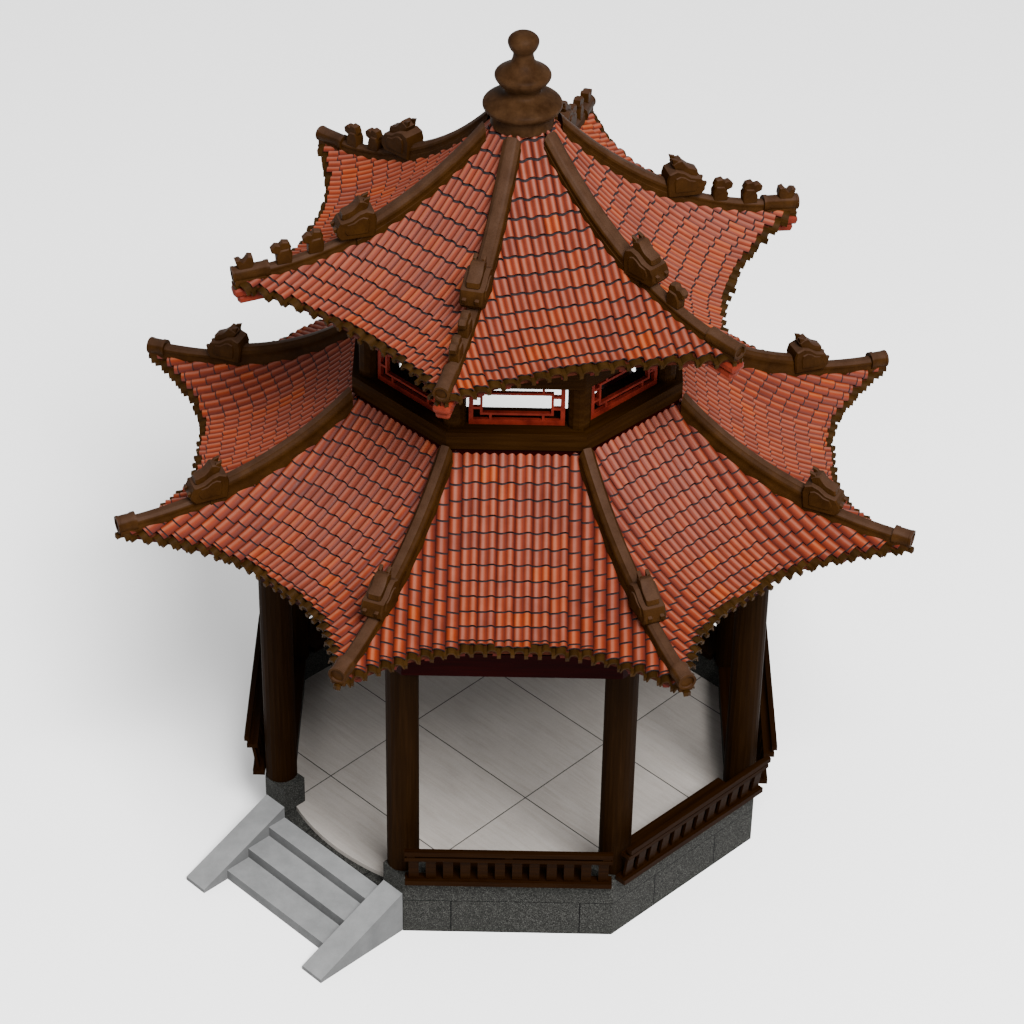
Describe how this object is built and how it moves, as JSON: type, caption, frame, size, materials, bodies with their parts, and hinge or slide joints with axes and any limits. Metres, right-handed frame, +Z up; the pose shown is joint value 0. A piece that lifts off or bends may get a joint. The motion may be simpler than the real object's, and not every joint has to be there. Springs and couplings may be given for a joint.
{
  "type": "octagonal garden pavilion",
  "caption": "Octagonal garden pavilion with two tiled roofs, upturned hips, a gourd finial, round timber columns, picket benches, a windowed drum and a stone podium with a stair.",
  "frame": {"origin": "on the pavilion's axis at ground level, the middle of the podium's underside", "axes": "+Z up, -Y towards the front bench face, the stair leaves the face that looks along azimuth -135 degrees"},
  "size_m": [7.6844, 7.6844, 8.846],
  "materials": {
    "granite": "speckled, cut",
    "pale_stone": "plain, matte",
    "paving": "honed, veined",
    "dark_wood": "dark stain, satin",
    "bench_wood": "brown stain, satin",
    "red_paint": "dark red paint",
    "roof_tile": "terracotta, satin",
    "ridge_tile": "dark brown, satin"
  },
  "bodies": {
    "root": {"bench_1": "bench_wood", "bench_2": "bench_wood", "bench_3": "bench_wood", "bench_4": "bench_wood", "bench_5": "bench_wood", "bench_6": "bench_wood", "bench_7": "bench_wood", "column_1": "dark_wood", "column_2": "dark_wood", "column_3": "dark_wood", "column_4": "dark_wood", "column_5": "dark_wood", "column_6": "dark_wood", "column_7": "dark_wood", "column_8": "dark_wood", "curb_wall_1": "granite", "curb_wall_2": "granite", "curb_wall_3": "granite", "curb_wall_4": "granite", "curb_wall_5": "granite", "curb_wall_6": "granite", "curb_wall_7": "granite", "drum_frame": "dark_wood", "drum_window_1": "red_paint", "drum_window_2": "red_paint", "drum_window_3": "red_paint", "drum_window_4": "red_paint", "drum_window_5": "red_paint", "drum_window_6": "red_paint", "drum_window_7": "red_paint", "drum_window_8": "red_paint", "finial": "ridge_tile", "floor_paving": "paving", "lower_ridge_1": "ridge_tile", "lower_ridge_2": "ridge_tile", "lower_ridge_3": "ridge_tile", "lower_ridge_4": "ridge_tile", "lower_ridge_5": "ridge_tile", "lower_ridge_6": "ridge_tile", "lower_ridge_7": "ridge_tile", "lower_ridge_8": "ridge_tile", "eave_beam": "red_paint", "lintel_frame": "red_paint", "lower_roof": "roof_tile", "podium": "granite", "stair_cheek_left": "pale_stone", "stair_cheek_right": "pale_stone", "stair_pedestal_left": "granite", "stair_pedestal_right": "granite", "stair_steps": "pale_stone", "upper_ridge_1": "ridge_tile", "upper_ridge_2": "ridge_tile", "upper_ridge_3": "ridge_tile", "upper_ridge_4": "ridge_tile", "upper_ridge_5": "ridge_tile", "upper_ridge_6": "ridge_tile", "upper_roof": "roof_tile"}
  },
  "joints": []
}
